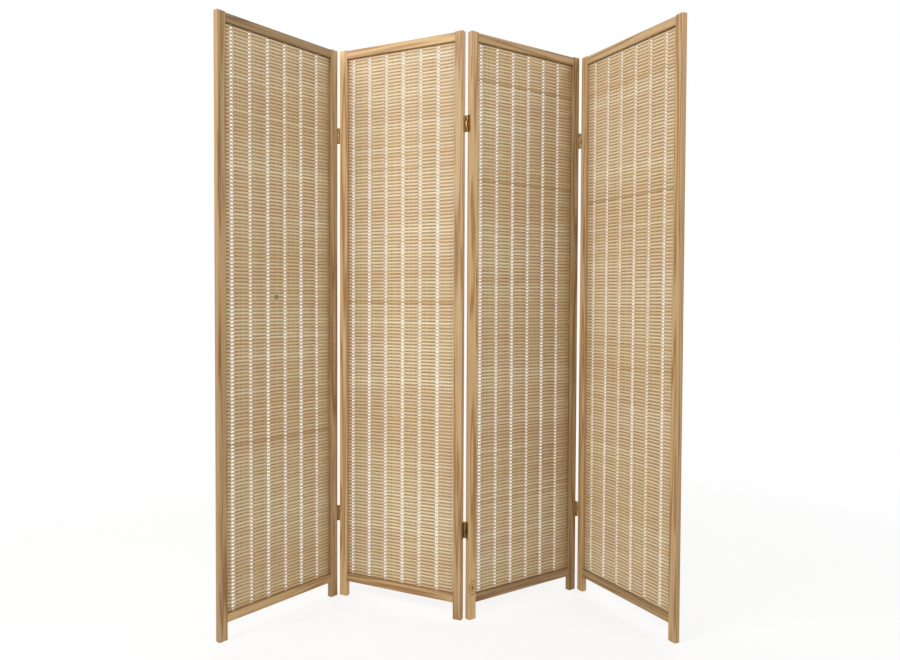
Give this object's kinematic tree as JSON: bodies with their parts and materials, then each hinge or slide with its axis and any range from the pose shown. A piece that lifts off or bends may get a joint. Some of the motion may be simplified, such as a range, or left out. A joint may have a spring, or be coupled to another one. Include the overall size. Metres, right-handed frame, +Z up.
{
  "type": "folding screen",
  "caption": "Freestanding folding room divider: slim pine frames with woven bamboo mats, joined by butt hinges so that it stands in a zigzag and folds flat.",
  "frame": {"origin": "centre of the bottom of the box around the standing screen, on the floor", "axes": "+Z up along the stiles, fronts of the panels towards -Y, +X from the first panel to the last"},
  "size_m": [1.3204, 0.4108, 1.778],
  "materials": {
    "pine": "clear satin lacquer on pale knotty pine",
    "bamboo_strand": "raw split bamboo, upright strands",
    "bamboo_splint": "raw split bamboo, level splints",
    "brass": "dull antique brass"
  },
  "bodies": {
    "panel_1": {"left_stile_1": "pine", "right_stile_1": "pine", "top_rail_1": "pine", "bottom_rail_1": "pine", "warp_strands_1": "bamboo_strand", "weft_splints_1": "bamboo_splint", "left_leaves_1_2": "brass", "hinge_pins_1_2": "brass"},
    "panel_2": {"left_stile_2": "pine", "right_stile_2": "pine", "top_rail_2": "pine", "bottom_rail_2": "pine", "warp_strands_2": "bamboo_strand", "weft_splints_2": "bamboo_splint", "right_leaves_1_2": "brass", "left_leaves_2_3": "brass", "hinge_pins_2_3": "brass"},
    "panel_3": {"left_stile_3": "pine", "right_stile_3": "pine", "top_rail_3": "pine", "bottom_rail_3": "pine", "warp_strands_3": "bamboo_strand", "weft_splints_3": "bamboo_splint", "right_leaves_2_3": "brass", "left_leaves_3_4": "brass", "hinge_pins_3_4": "brass"},
    "panel_4": {"left_stile_4": "pine", "right_stile_4": "pine", "top_rail_4": "pine", "bottom_rail_4": "pine", "warp_strands_4": "bamboo_strand", "weft_splints_4": "bamboo_splint", "right_leaves_3_4": "brass"}
  },
  "joints": [
    {"name": "fold_1_2", "type": "hinge", "parent": "panel_2", "child": "panel_1", "pos_m": [-0.36298, 0.13337, 0], "axis": [0, 0, 1], "range_deg": [-76, 104]},
    {"name": "fold_2_3", "type": "hinge", "parent": "panel_2", "child": "panel_3", "pos_m": [0.04827, -0.03817, 0], "axis": [0, 0, 1], "range_deg": [-59.4, 120.6]},
    {"name": "fold_3_4", "type": "hinge", "parent": "panel_3", "child": "panel_4", "pos_m": [0.43086, 0.19027, 0], "axis": [0, 0, 1], "range_deg": [-84.8, 95.2]}
  ]
}
